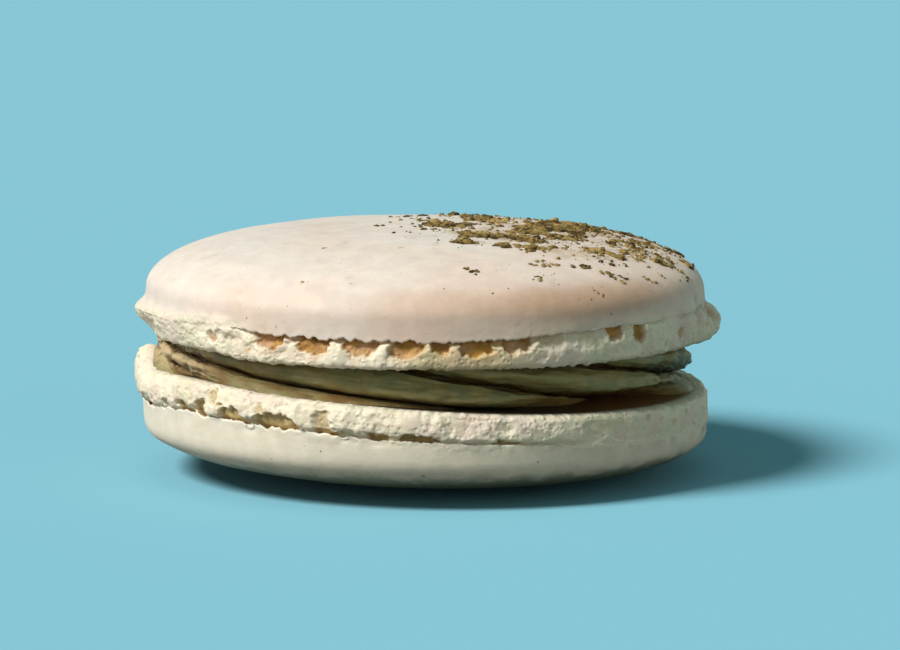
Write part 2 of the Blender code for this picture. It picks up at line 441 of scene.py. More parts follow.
def shell_rows(shell, turn):
    """Rows of the finely modelled band: face edge, foot, roof under the crust, lip and lower dome.

    Returns the points, how far up the foot each row is, the foot's weight and the dome's share.
    """
    sizes = shell.settings
    reach = sizes.foot_reach * around(turn, shell.reach)
    foot = sizes.foot_height * around(turn, shell.foot)
    lip = around(turn, shell.lip)
    flare = around(turn, shell.flare)
    ragged = np.stack([np.cos(turn) * sizes.radius, np.sin(turn) * sizes.radius, 0 * turn], axis=-1)
    inset = sizes.face_inset * around(turn, shell.tuck)
    inset = inset + 0.10 * MM * drift(ragged, 0.5 * MM, shell.salt + 83)
    inset = inset + 0.10 * MM * drift(ragged, 1.4 * MM, shell.salt + 89)
    peak = around(turn, shell.peak)
    crevice = sizes.crevice * lip
    beak = flare * reach
    gap = (1 - lip) * LIPLESS_GAP
    chips = 0.13 * MM * drift(ragged, 0.6 * MM, shell.salt + 97)
    chips = chips + 0.08 * MM * drift(ragged, 0.3 * MM, shell.salt + 101)

    def fading(height):
        """The foot's weight at a height above it: far less on a lip, and fading where there is none."""
        return lip * 0.12 + (1 - lip) * np.exp(-((height / FADE) ** 2))

    rows = []
    for share in np.linspace(0.88, 1.0, FACE_ROWS):
        up = chips * eased(share, 0.95, 1.0)
        rows.append((share * (sizes.radius - inset), up, 0.0, eased(share, 0.96, 1.0), 0.0))
    for rise in np.linspace(0.0, 1.0, FOOT_ROWS + 1)[1:]:
        upper = np.clip((rise - peak) / (1 - peak), 0.0, 1.0)
        lower = np.clip((peak - rise) / peak, 0.0, 1.0)
        corner = max(1 - rise / EDGE_SHARE, 0.0)
        skirt = reach * (1 - upper ** 2.5) * (1 - lower * lower) - crevice * upper ** 6
        out = sizes.radius + skirt - inset * (1 - math.sqrt(1 - corner * corner))
        fall = np.exp(-(((1 - rise) * foot / BEAK_FALL) ** 2))
        beaked = sizes.radius - inset * (1 - rise) ** 1.5 + reach * fall
        up = rise * foot + chips * (1 - rise) ** 4
        rows.append((out + flare * (beaked - out), up, rise, 1.0, 0.4 * rise))
    teeth = 1 - 2 * np.abs(drift(ragged, 1.1 * MM, shell.salt + 17))
    teeth = teeth + 0.5 * drift(ragged, 4 * MM, shell.salt + 19)
    fringe = 1 - 2 * np.abs(drift(ragged, 0.45 * MM, shell.salt + 23))
    droop = lip * (0.22 * MM * teeth + 0.12 * MM * fringe)
    for step, (out, up) in enumerate(((0.9, 0.8), (0.6, 1.0), (0.3, 0.8)), start=1):
        height = foot + ROOF * up * lip + gap * step
        weight = lip * (1 - 0.175 * step) + (1 - lip) * fading(gap * step)
        rows.append((sizes.radius + beak - crevice * out, height, 1 + 0.025 * step, weight, 0.4))
    edge = foot - droop + 4 * gap
    for out, up in LIP_EDGE:
        above = 4 * gap + up * MM
        spread = beak * np.exp(-((above / BEAK_RISE) ** 2))
        rows.append((sizes.radius + spread - lip * out * MM, edge + up * MM, 1.2, fading(above), 0.4))
    top = rows[-1]
    belt = np.maximum(sizes.belt, foot + 4 * gap + (0.46 + 0.34 * lip) * MM)
    for share in np.linspace(0.0, 1.0, BELT_ROWS + 2)[1:-1]:
        up = top[1] + (belt - top[1]) * share
        spread = beak * np.exp(-(((up - foot) / BEAK_RISE) ** 2))
        out = sizes.radius + spread + lip * 0.05 * MM * (1 - share)
        rows.append((out, up, 1.3, fading(up - foot) * (1 - share), 0.4 + 0.1 * share))
    for angle in np.radians(np.linspace(0.0, math.degrees(FINE_DOME), DOME_ROWS)):
        out, up = shell.dome(angle)
        part = 0.5 + 0.5 * eased(up, sizes.belt, shell.dome(FINE_DOME)[1])
        up = up + (belt - sizes.belt) * (1 - eased(angle, 0.0, FINE_DOME))
        spread = beak * np.exp(-(((up - foot) / BEAK_RISE) ** 2))
        rows.append((out + spread, up, 1.4, 0.0, part))
    points = np.array([[row[0] * np.cos(turn), row[0] * np.sin(turn), row[1]] for row in rows])
    points = np.moveaxis(points, 1, 2)
    rise, weight, share = (np.array([row[k] + 0 * turn for row in rows]) for k in (2, 3, 4))
    return points, rise, weight, share


def shell_mesh(shell, dusting):
    """The whole shell as one closed mesh, with its hollows, its foot and its powder marked for the finish."""
    sizes = shell.settings
    turn = np.linspace(-math.pi, math.pi, STEPS, endpoint=False)
    points, rise, weight, share = shell_rows(shell, turn)
    salt = shell.salt
    hollow, toast = hollow_pattern(turn[None, :] + 0 * rise, rise, points, shell)
    radial = np.stack([np.cos(turn), np.sin(turn), 0 * turn], axis=-1)[None, :, :]
    deep = sizes.pocket_depth * (0.8 + 0.3 * drift(points, 1.2 * MM, salt + 29))
    rough = around(turn, shell.lumps)[None, :] * weight * (1 - 0.4 * hollow)
    base = points.copy()
    facing = outward(base)
    inward = hollow * deep
    for degrees, high, radius in shell.pits:
        middle = math.radians(degrees)
        row = np.searchsorted(rise[:, 0], high)
        column = int((middle + math.pi) / (2 * math.pi) * STEPS)
        away = np.linalg.norm(base - base[row, column], axis=-1) / (radius * MM)
        away = away + 0.4 * drift(base, 0.5 * MM, salt + 31)
        pit = np.sqrt(np.maximum(1 - away * away, 0.0)) * (rise <= 1.0)
        inward = np.maximum(inward, 0.5 * radius * MM * pit)
        # Pits are coloured toffee inside: partly toasted crumb, partly painted shade so that small pits show.
        toast = np.maximum(toast, 0.65 * eased(radius, 0.0, 0.5) * eased(pit, 0.2, 0.9))
        rough = rough * (1 - 0.7 * pit)
    edge = 0.35 + 0.65 * eased(rise, 0.0, 0.16)
    skin = (rise > ABOVE_LIP) * (1 - around(turn, shell.lip))
    calm = 1 - 0.6 * shell.spongy
    lumps = LUMP_DEPTH * calm * (knobs(base, LUMP, salt + 41, smallest=0.65) - 0.5)
    lumps += SWELL_DEPTH * drift(base, SWELL, salt + 43)
    lumps += BUBBLE_DEPTH * calm * (knobs(base, BUBBLE, salt + 53, smallest=0.6) - 0.46)
    holes = knobs(base, HOLE, salt + 59, share=0.16 + 0.2 * shell.spongy, smallest=0.25)
    nicks = knobs(base, NICK, salt + 57, share=0.12 + 0.3 * shell.spongy, smallest=0.3)
    opened = HOLE_DEPTH * holes * eased(rise, 0.02, 0.1) + NICK_DEPTH * nicks * edge
    lumps = edge * lumps - (1 - skin) * opened
    points = points - radial * inward[..., None] + facing * (rough * lumps)[..., None]
    grains = knobs(base, GRAIN, salt + 61, smallest=0.5) - 0.4
    pores = knobs(base, PORE, salt + 67, share=0.22, smallest=0.3)
    grain = rough * (GRAIN_DEPTH * grains - PORE_DEPTH * pores * (0.4 + 0.6 * edge))
    points = points + outward(points) * grain[..., None]
    smooth = WAVE_DEPTH * drift(base, WAVE, salt + 71) + RIPPLE_DEPTH * drift(base, RIPPLE, salt + 73)
    points = points + outward(points) * (share * smooth)[..., None]
    rings = [shell.seat(row, part) for row, part in zip(points, share)]
    few = turn[::THINNING]
    flat = np.stack([np.cos(few), np.sin(few), 0 * few], axis=-1)
    inner = []
    for part in FACE_SHARES:
        inner.append(shell.seat(part * (sizes.radius - sizes.face_inset) * flat, 0 * few))
    outer, heights = [], []
    for angle in np.radians(np.concatenate([UPPER_DOME, NEAR_TOP])):
        out, up = shell.dome(angle)
        heights.append(up)
        ring = out * flat + (0.0, 0.0, up)
        ring[..., 2] += WAVE_DEPTH * drift(ring, WAVE, salt + 71)
        outer.append(shell.seat(ring, 0 * few + 1))
    first = shell.seat(np.array([[0.0, 0.0, 0.0]]), np.zeros(1))
    last = shell.seat(np.array([[0.0, 0.0, sizes.belt + sizes.dome_height]]), np.ones(1))
    everything = [first] + inner + rings + outer + [last]
    mesh = closed_mesh(shell.name, everything, flip=shell.side < 0)
    blank = [np.zeros(len(ring)) for ring in everything]
    below = blank[:1 + len(inner)]
    above = blank[len(below) + len(rings):]
    face = [np.ones(len(ring)) for ring in [first] + inner]

    holed = np.maximum(toast, 0.3 * np.clip(2 * holes, 0, 1) * weight)
    inside = np.hypot(base[..., 0], base[..., 1]) / (sizes.radius - sizes.face_inset)
    # Painted shade: the inner face, seen where the cream draws back, is coloured near black, partly as crust
    # soaked by the cream.
    soaked_and_shaded = np.where(rise > 0, 0.0, 1 - eased(inside, 0.95, 0.99))
    mark(mesh, "soaked_and_shaded", face, soaked_and_shaded, above)
    mark(mesh, "hollow", below, holed, above)
    frill = weight * np.where(rise <= ABOVE_LIP, 1.0, 1 - around(turn, shell.lip))
    mark(mesh, "frill", face, frill, above)
    crust = base[..., 2] + 0.25 * MM * drift(base, 4 * MM, salt + 79)
    tan = np.where(rise > ABOVE_LIP, shell.tan(turn[None, :], crust), 0.0)
    mark(mesh, "baked", below, tan, [shell.tan(few, up) for up in heights] + blank[-1:])
    powdered = [dusting(ring) * (level > ABOVE_LIP) for ring, level in zip(rings, rise)]
    mark(mesh, "dusting", below, powdered, [dusting(ring) for ring in outer + [last]])
    return mesh


def top_form(settings):
    """The upper shell: its foot is pointed at the left, hollowed in front and lobed at the right."""
    shell = Shell("top_shell_baked", settings, 100)
    shell.face = settings.face
    shell.face_slope = math.tan(settings.face_tilt)
    shell.dome_slope = math.tan(settings.dome_tilt)
    shell.face_sway = (
        (-165, 0.35 * MM),
        (-142, 0.4 * MM),
        (-125, 0.0),
        (-10, 0.0),
        (5, -0.3 * MM),
        (30, 0.0),
        (180, 0.0),
    )
    shell.foot = (
        (-178, 0.68), (-152, 0.7), (-128, 0.87), (-90, 0.85), (-45, 0.95), (-5, 1.0), (30, 1.0), (150, 0.9)
    )
    shell.reach = (
        (-178, 1.75), (-168, 1.3), (-155, 0.7), (-90, 0.6), (-64, 0.3), (-30, 0.3), (-20, 0.9),
        (-9, 2.0), (8, 0.8),
    )
    shell.flare = ((-178, 1.0), (-155, 0.95), (-136, 0.5), (-124, 0.0), (150, 0.0), (172, 0.8))
    shell.tuck = (
        (-178, 1.95), (-168, 1.1), (-156, 0.5), (-130, 0.8), (-40, 0.9), (-10, 1.6), (15, 1.2), (170, 1.0)
    )
    shell.peak = (
        (-178, 0.6), (-150, 0.35), (-128, 0.12), (-78, 0.12), (-62, 0.6), (-30, 0.8), (-8, 0.55),
        (15, 0.4), (150, 0.3),
    )
    shell.lip = (
        (-178, 0.0), (-134, 0.0), (-121, 1.0), (-76, 1.0), (-60, 0.4), (-28, 0.15), (-16, 0.9),
        (40, 1.0), (150, 0.6),
    )
    shell.lumps = (
        (-178, 0.3), (-150, 0.5), (-128, 0.8), (-96, 0.7), (-84, 0.35), (-72, 0.25), (-40, 0.6),
        (-26, 0.5), (-12, 1.9), (10, 1.5), (60, 1.0),
    )
    shell.groove = (
        (-130, 0.0), (-121, 0.5), (-72, 0.5), (-55, 0.25), (-38, 0.0), (60, 0.0), (70, 0.3), (140, 0.3)
    )
    shell.hollows = (
        (-122, 3.0, 0.50, 1.0),
        (-112, 3.2, 0.54, 1.0),
        (-102.5, 2.9, 0.50, 1.0),
        (-93.5, 3.1, 0.54, 1.0),
        (-86.5, 2.1, 0.44, 1.0),
        (-79.5, 3.2, 0.52, 1.0),
        (-71.5, 3.0, 0.46, 0.9),
        (-64, 3.0, 0.42, 0.5),
        (-56, 2.8, 0.42, 0.35),
        (-49, 1.6, 0.36, 0.9),
        (-42.5, 1.5, 0.42, 0.9),
        (-20, 1.6, 0.40, 0.4),
        (-9, 1.6, 0.50, 0.5),
    )
    shell.pits = (
        (-136.4, 0.6, 0.6), (-127, 0.35, 0.4), (-146, 0.75, 0.25), (-141, 0.85, 0.2), (-27, 0.5, 0.6),
        (-33, 0.3, 0.3),
    )
    shell.baked = BAKED
    shell.greyed = ((-120, 0.0), (-95, 0.1), (-70, 0.6), (-20, 0.9), (20, 0.3), (150, 0.0))
    return shell


def bottom_form(settings):
    """The lower shell, dome down: hollowed at the left, cracked in front and smooth at the right."""
    shell = Shell("bottom_shell_baked", settings, 700)
    shell.side = -1.0
    shell.face = settings.face
    shell.face_slope = math.tan(settings.face_tilt)
    shell.dome_slope = math.tan(settings.dome_tilt)
    shell.face_sway = (
        (-178, 1.2 * MM),
        (-171, 0.4 * MM),
        (-163, 0.0),
        (-142, 0.3 * MM),
        (-52, -0.25 * MM),
        (-5, -0.3 * MM),
        (30, 0.0),
        (172, 0.2 * MM),
    )
    shell.foot = ((-178, 1.1), (-140, 0.92), (-90, 0.88), (-50, 0.9), (0, 0.9), (90, 0.95))
    shell.reach = ((-178, 1.1), (-120, 0.8), (-75, 0.45), (-50, 0.1), (-5, 0.05), (60, 0.9), (150, 1.0))
    shell.peak = ((-178, 0.55), (-120, 0.6), (-60, 0.72), (0, 0.6), (150, 0.5))
    shell.lip = (
        (-178, 0.7), (-150, 1.0), (-115, 0.8), (-95, 0.4), (-68, 0.3), (-48, 0.0), (15, 0.0), (60, 0.8),
        (150, 0.9),
    )
    shell.lumps = (
        (-178, 1.2), (-160, 0.8), (-125, 0.8), (-90, 0.7), (-60, 0.4), (-40, 0.35), (-10, 0.5), (60, 0.9)
    )
    shell.spongy = 0.7
    shell.baked = ((-178, 0.0), (-90, 0.15), (-30, 0.3), (90, 0.3))
    shell.hollows = (
        (-161.5, 0.9, 0.22, 0.8),
        (-151, 1.1, 0.30, 1.0),
        (-145.5, 1.2, 0.36, 1.0),
        (-139.5, 1.5, 0.56, 1.0),
        (-130.5, 3.0, 0.44, 1.0),
        (-119.5, 4.4, 0.46, 1.0),
        (-109, 2.0, 0.16, 1.0),
        (-99, 2.2, 0.16, 1.0),
        (-91, 3.6, 0.18, 1.0),
        (-74, 2.4, 0.12, 0.8),
        (50, 1.5, 0.20, 0.5),
    )
    shell.pits = (
        (-135.3, 0.3, 0.75), (-109.7, 0.62, 0.95), (-123, 0.4, 0.5), (-80, 0.35, 0.25),
        (-57, 0.4, 0.25), (-44, 0.7, 0.25), (-40, 0.3, 0.35), (-36, 0.45, 0.3), (-31, 0.65, 0.3),
        (-25, 0.4, 0.35),
    )
    return shell


# Filling -------------------------------------------------------------------------------------------------


def filling_mesh(settings, top, bottom):
    """Piped cream as rolls that lean over each other like shingles, each from one long crease to the next."""
    creases = [(math.radians(high), math.radians(low), bend) for high, low, bend in CREASES]
    creases.append((creases[0][0] + 2 * math.pi, creases[0][1] + 2 * math.pi, creases[0][2]))
    rows = np.linspace(0.0, 1.0, FILLING_ROWS)[:, None]
    turns, crests = [], []
    part = (np.arange(ROLL_STEPS) / ROLL_STEPS)[None, :]
    for here, there in zip(creases, creases[1:]):
        left = here[0] + (here[1] - here[0]) * (1 - rows) ** here[2]
        right = there[0] + (there[1] - there[0]) * (1 - rows) ** there[2]
        under = np.clip(part / ROLL_TUCK, 0.0, 1.0)
        face = np.clip((part - ROLL_TUCK) / (1 - ROLL_TUCK), 0.0, 1.0)
        turns.append(left + ROLL_LAP * (1 - under) * (part < ROLL_TUCK) + (right - left + ROLL_LAP) * face)
        risen = np.clip((face - 0.05) / 0.55, 0.0, 1.0)
        swell = np.where(face < 0.6, 1 - (1 - risen) ** 2, 1 - 0.3 * ((face - 0.6) / 0.4) ** 2)
        crests.append(np.where(part < ROLL_TUCK, 0.7 * (1 - under), swell) + 0 * rows)
    turn = np.concatenate(turns, axis=1)
    crest = np.concatenate(crests, axis=1)
    wrapped = (turn + math.pi) % (2 * math.pi) - math.pi
    depth = settings.crease * around(wrapped, CREASE_DEPTHS)
    out = settings.radius + MM * around(wrapped, FILLING_SWAYS) - depth * (1 - crest)
    out = out - MM * around(wrapped, TOP_TUCKS) * eased(rows, 0.72, 1.05)
    out = out - MM * around(wrapped, BOTTOM_TUCKS) * eased(1 - rows, 0.72, 1.05)
    gap = around(wrapped, GAP_AND_SHADE) * (1 - eased(rows, 0.2, 0.4)) * (1 - eased(turn, 0.0, 0.2))
    out = out - GAP_DEPTH * gap
    flat = np.stack([np.cos(turn), np.sin(turn), 0 * turn], axis=-1)
    spot = flat * settings.radius
    low = bottom.level(spot, 0.0) - FILLING_BITE
    high = top.level(spot, 0.0) + FILLING_BITE
    points = flat * out[..., None]
    points[..., 2] = low + (high - low) * rows
    along = np.stack([turn * settings.radius * 0.3, crest * 3 * MM, low + (high - low) * rows], axis=-1)
    torn = around(wrapped, TORN) * np.clip(4 * rows * (1 - rows), 0.0, 1.0)
    even = np.clip(8 * rows * (1 - rows), 0.0, 1.0)
    relief = 0.13 * MM * drift(along, 0.9 * MM, 905) + 0.07 * MM * drift(points, 2.2 * MM, 911)
    relief = relief + 0.06 * MM * drift(along, 0.35 * MM, 907)
    relief = relief - 0.12 * MM * knobs(points, 0.9 * MM, 909, share=0.2)
    rubble = 0.4 * (knobs(points, 1.1 * MM, 921) - 0.5) + 0.25 * (knobs(points, 0.5 * MM, 931) - 0.5)
    relief = relief + torn * MM * rubble
    relief = relief + 0.03 * MM * (1 + 5 * torn) * drift(points, 0.35 * MM, 941)
    points = points + (outward(points) * (relief * even)[..., None])
    rings = [row for row in points]
    below, above = [], []
    for share in FILLING_SHARES:
        ring = points[0] * (share, share, 1.0)
        ring[:, 2] = bottom.level(ring, 0.0) - FILLING_BITE
        below.insert(0, ring)
        ring = points[-1] * (share, share, 1.0)
        ring[:, 2] = top.level(ring, 0.0) + FILLING_BITE
        above.append(ring)
    first = np.array([[0.0, 0.0, bottom.face - FILLING_BITE]])
    last = np.array([[0.0, 0.0, top.face + FILLING_BITE]])
    everything = [first] + below + rings + above + [last]
    mesh = closed_mesh("filling_piped", everything, flip=False)
    inside = [np.zeros(len(ring)) for ring in [first] + below]
    outside = [np.zeros(len(ring)) for ring in above + [last]]
    mark(mesh, "crest", inside, crest, outside)
    mark(mesh, "torn", inside, torn + 0 * crest, outside)
    roll_shadows = np.repeat(ROLL_BROWN_AND_SHADOW, ROLL_STEPS)[None, :]
    # Painted shadow under the upper shell: the cream darkens towards brown, more near the top.
    browned_and_shadowed = np.maximum(around(wrapped, BROWNED_AND_SHADOWED) * (0.35 + 0.65 * eased(rows, 0.15, 0.4)), roll_shadows)
    mark(mesh, "browned_and_shadowed", inside, browned_and_shadowed, outside)
    mark(mesh, "gap_shade", inside, gap, outside)
    return mesh


# Powder --------------------------------------------------------------------------------------------------


def dusting(points):
    """How thickly the nut powder lies over a place, from 0 to 1: thick over the right of the crown."""
    across, along = points[..., 0] - POWDER_MIDDLE[0], points[..., 1] - POWDER_MIDDLE[1]
    flat = points * (1.0, 1.0, 0.0)
    away = np.hypot(across, along) + 2.2 * MM * drift(flat, 5 * MM, 611) + 1.2 * MM * drift(flat, 2 * MM, 617)
    return 1 - eased(away, 0.5 * POWDER_RADIUS, 1.1 * POWDER_RADIUS)


def undusted(points):
    """No powder at all."""
    return np.zeros(points.shape[:-1])


def round_grain(detail):
    """Points and faces of a unit ball of triangles."""
    form = bmesh.new()
    bmesh.ops.create_icosphere(form, subdivisions=detail, radius=1.0)
    points = np.array([vertex.co[:] for vertex in form.verts])
    faces = np.array([[vertex.index for vertex in face.verts] for face in form.faces])
    form.free()
    return points, faces


def strewn_mesh(name, shell, places, sizes, heights, detail, salt):
    """One mesh of loose crumbs that lie on the crown at given places, each with its own lumpy form."""
    ball, faces = round_grain(detail)
    source = np.random.default_rng(salt)
    count = len(places)
    step = 0.2 * MM
    up = shell.crown(places[:, 0], places[:, 1])
    slope_x = (shell.crown(places[:, 0] + step, places[:, 1]) - up) / step
    slope_y = (shell.crown(places[:, 0], places[:, 1] + step) - up) / step
    normal = np.stack([-slope_x, -slope_y, np.ones(count)], axis=-1)
    normal /= np.linalg.norm(normal, axis=-1, keepdims=True)
    spin = 0.5 * math.pi + source.normal(0, 0.7, count)
    guide = np.stack([np.cos(spin), np.sin(spin), np.zeros(count)], axis=-1)
    side = np.cross(normal, guide)
    side /= np.linalg.norm(side, axis=-1, keepdims=True)
    ahead = np.cross(side, normal)
    stretch = source.uniform(0.45, 0.9, count)
    local = ball[None, :, :] * np.ones((count, 1, 1))
    seed = source.uniform(-50, 50, (count, 1, 3))
    lump = 1 + 0.5 * drift(local + seed, 0.9, salt + 3) + 0.36 * drift(local + seed, 0.4, salt + 5)
    local = local * lump[..., None]
    flatter = np.where(local[..., 2] < 0, 0.3, 1.0)
    middle = np.stack([places[:, 0], places[:, 1], up], axis=-1)
    points = middle[:, None, :] + ahead[:, None, :] * (local[..., 0] * sizes[:, None])[..., None]
    points += side[:, None, :] * (local[..., 1] * (sizes * stretch)[:, None])[..., None]
    points += normal[:, None, :] * (local[..., 2] * flatter * heights[:, None])[..., None]
    faces = faces[None, :, :] + (np.arange(count) * len(ball))[:, None, None]
    mesh = bpy.data.meshes.new(name)
    mesh.from_pydata(points.reshape(-1, 3).tolist(), [], faces.reshape(-1, 3).tolist())
    mesh.validate()
    mesh.shade_smooth()
    return mesh


def strewn_places(shell, count, share, salt):
    """Random places on the crown, as many as wanted, where share gives the odds from 0 to 1."""
    source = np.random.default_rng(salt)
    places = []
    reach = 0.985 * shell.settings.radius
    while len(places) < count:
        tries = source.uniform(-reach, reach, (4000, 3)) * (1.0, 1.0, 0.0)
        odds = share(tries) * (np.hypot(tries[:, 0], tries[:, 1]) < reach)
        places += list(tries[source.uniform(0, 1, 4000) < odds][:, :2])
    return np.array(places[:count])


def powder_meshes(settings, shell):
    """Clumps, grains and dust of nut powder, each kind in one mesh."""
    source = np.random.default_rng(640)

    def patches(points, low):
        """Thick and thin patches that run across the crown. A smaller low leaves less bare crust."""
        return eased(drift(points * (0.6, 1.0, 1.0), 1.9 * MM, 631), low, 0.3)

    def clumped(points):
        """Clumps keep to the thick patches."""
        return dusting(points) ** 1.5 * patches(points, 0.05)

    def gritty(points):
        """Grains fill the patches, and a few lie between them."""
        return dusting(points) * (0.08 + 0.92 * patches(points, -0.05))

    def broad(points):
        """Dust lies where grains do, and thinly over the whole right side."""
        return 0.03 * eased(points[:, 0], -4 * MM, 12 * MM) + dusting(points) * gritty(points)

    middles = strewn_places(shell, settings.clumps, clumped, 641)
    count = source.integers(1, 7, len(middles))
    spread = source.normal(0, 1, (count.sum(), 2)) * (0.65 * MM, 0.36 * MM)
    places = np.repeat(middles, count, axis=0) + spread
    sizes = settings.clump_size * 0.5 * source.uniform(0.25, 1.0, len(places)) ** 1.1
    loose = np.repeat(np.array(LOOSE_FLECKS) * MM, LOOSE_CRUMBS, axis=0)
    stray = source.normal(0, 1, (len(loose), 2)) * (1.0, 0.5) * loose[:, 2:]
    places = np.concatenate([places, loose[:, :2] + stray])
    sizes = np.concatenate([sizes, loose[:, 2] * source.uniform(0.25, 0.7, len(loose))])
    kept = np.hypot(places[:, 0], places[:, 1]) < 0.985 * shell.settings.radius
    places, sizes = places[kept], sizes[kept]
    heights = sizes * source.uniform(0.22, 0.52, len(sizes))
    yield strewn_mesh("powder_clumps", shell, places, sizes, heights, 3, 643)
    places = strewn_places(shell, settings.grains, gritty, 651)
    sizes = source.uniform(0.08, 0.22, len(places)) * MM
    yield strewn_mesh("powder_grains", shell, places, sizes, 0.7 * sizes, 2, 653)
    places = strewn_places(shell, settings.dust, broad, 661)
    sizes = source.uniform(0.04, 0.10, len(places)) * MM
    yield strewn_mesh("powder_dust", shell, places, sizes, 0.7 * sizes, 1, 663)


# Finishes ------------------------------------------------------------------------------------------------


class Finish:
    """The nodes of one finish, added step by step round its shader."""

    def __init__(self, owner, shader="Principled BSDF", place="Object"):
        owner.use_nodes = True
        self.owner = owner
        self.tree = owner.node_tree
        self.shader = self.tree.nodes[shader]
        self.place = self.tree.nodes.new("ShaderNodeTexCoord").outputs[place]

    def join(self, value, socket):
        """Link an output, or set a number or colour, on an input."""
        if isinstance(value, bpy.types.NodeSocket):
            self.tree.links.new(value, socket)
        elif value is not None:
            socket.default_value = value

    def noise(self, scale, detail=3.0, roughness=0.55, place=None):
        """Soft noise from 0 to 1."""
        node = self.tree.nodes.new("ShaderNodeTexNoise")
        node.inputs["Scale"].default_value = scale
        node.inputs["Detail"].default_value = detail
        node.inputs["Roughness"].default_value = roughness
        self.join(place or self.place, node.inputs["Vector"])
        return node.outputs["Fac"]

    def cells(self, scale, randomness=1.0):
        """Distance from scattered points, in cells."""
        node = self.tree.nodes.new("ShaderNodeTexVoronoi")
        node.inputs["Scale"].default_value = scale
        node.inputs["Randomness"].default_value = randomness
        self.join(self.place, node.inputs["Vector"])
        return node.outputs["Distance"]

    def ramp(self, value, low, high, to_low=0.0, to_high=1.0):
        """A value stretched from one range to another with a smooth step."""
        node = self.tree.nodes.new("ShaderNodeMapRange")
        node.interpolation_type = "SMOOTHSTEP"
        for key, number in zip(
            ("Value", "From Min", "From Max", "To Min", "To Max"), (value, low, high, to_low, to_high)
        ):
            self.join(number, node.inputs[key])
        return node.outputs["Result"]

    def math(self, operation, first, second=0.0):
        """One sum of two values."""
        node = self.tree.nodes.new("ShaderNodeMath")
        node.operation = operation
        self.join(first, node.inputs[0])
        self.join(second, node.inputs[1])
        return node.outputs[0]

    def mix(self, share, first, second, kind="MIX"):
        """Two colours mixed by a share."""
        node = self.tree.nodes.new("ShaderNodeMix")
        node.data_type = "RGBA"
        node.blend_type = kind
        self.join(share, node.inputs["Factor"])
        self.join(first, node.inputs[6])
        self.join(second, node.inputs[7])
        return node.outputs[2]

    def stored(self, name):
        """A value stored at each point of the mesh."""
        node = self.tree.nodes.new("ShaderNodeAttribute")
        node.attribute_name = name
        return node.outputs["Fac"]

    def along(self, axis):
        """How far along one axis a place is."""
        node = self.tree.nodes.new("ShaderNodeSeparateXYZ")
        self.join(self.place, node.inputs[0])
        return node.outputs[axis]

    def relief(self, height, distance, under=None):
        """A fine relief of the surface, on top of another."""
        node = self.tree.nodes.new("ShaderNodeBump")
        node.inputs["Distance"].default_value = distance
        self.join(height, node.inputs["Height"])
        self.join(under, node.inputs["Normal"])
        return node.outputs["Normal"]

    def set(self, **values):
        """Set or link the shader's sockets by name, with spaces written as underscores."""
        for key, value in values.items():
            self.join(value, self.shader.inputs[key.replace("_", " ")])


def rgb(colour):
    """A colour property as a node's colour."""
    return (*colour[:3], 1.0)


